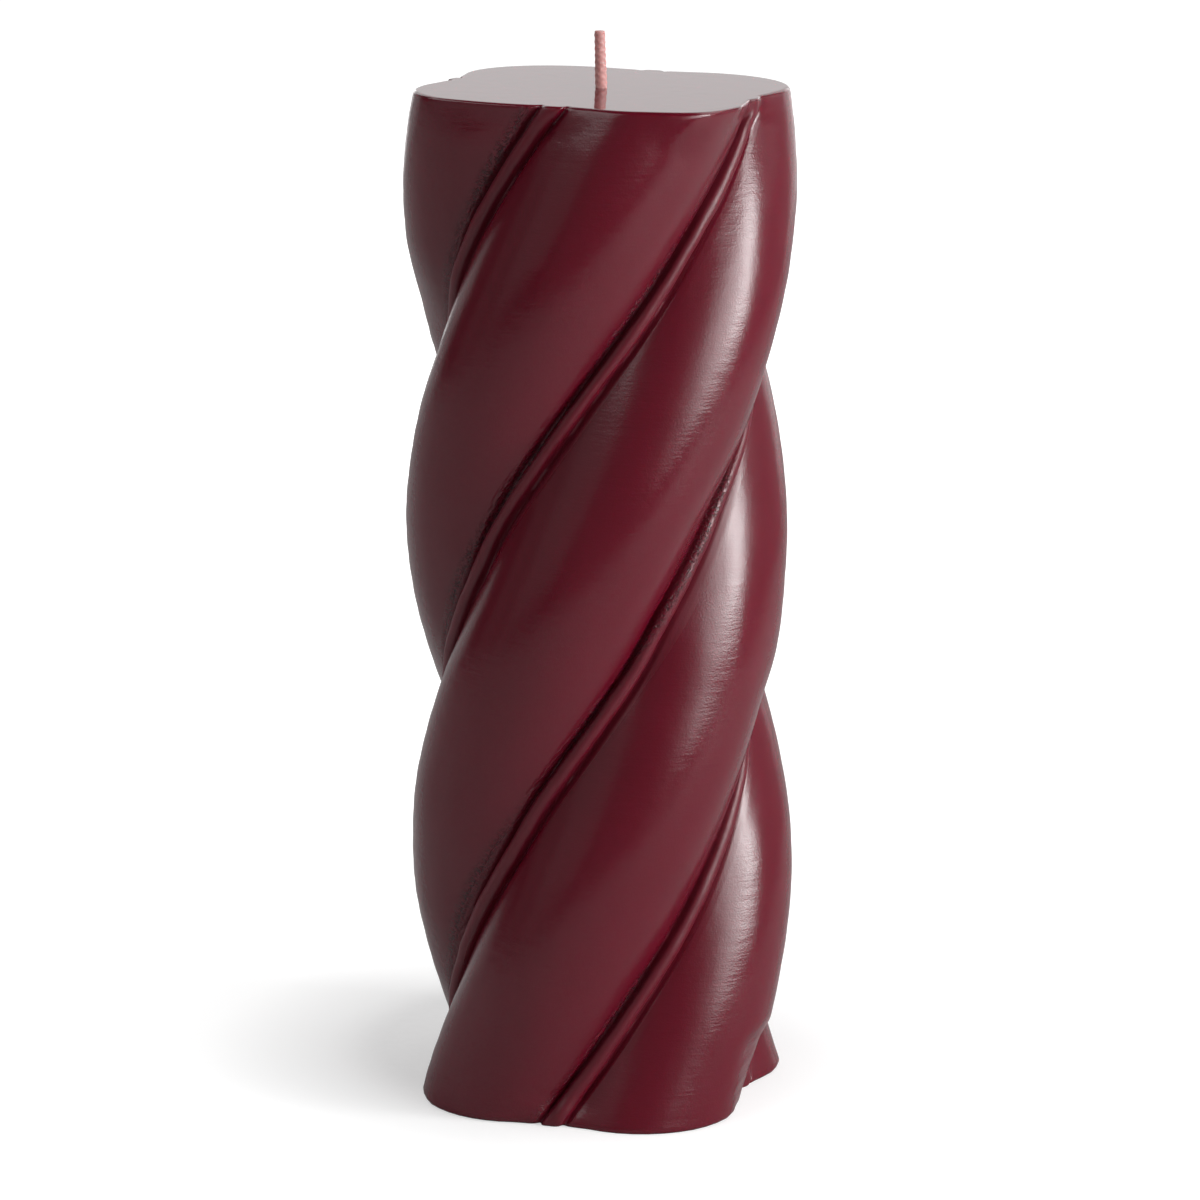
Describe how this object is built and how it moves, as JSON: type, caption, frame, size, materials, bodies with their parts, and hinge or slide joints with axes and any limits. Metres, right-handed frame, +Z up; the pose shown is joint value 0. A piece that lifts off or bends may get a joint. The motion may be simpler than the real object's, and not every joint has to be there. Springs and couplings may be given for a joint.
{
  "type": "pillar candle",
  "caption": "Twisted pillar candle: fat round lobes with a narrow bead in each groove, flat base and top, a braided wick and its metal foot.",
  "frame": {"origin": "centre of the flat base, on the surface the candle stands on", "axes": "+Z up along the candle's axis, towards the wick; -Y faces the viewer of the picture, +X to their right"},
  "size_m": [0.075, 0.075, 0.2116],
  "materials": {
    "wax": "semi-gloss dyed wax, burgundy all through",
    "wick_cotton": "braided cotton, dipped in the burgundy wax",
    "tinned_steel": "bright tinned sheet steel, stamped"
  },
  "bodies": {
    "root": {"wax_body": "wax", "wick": "wick_cotton", "wick_sustainer": "tinned_steel"}
  },
  "joints": []
}
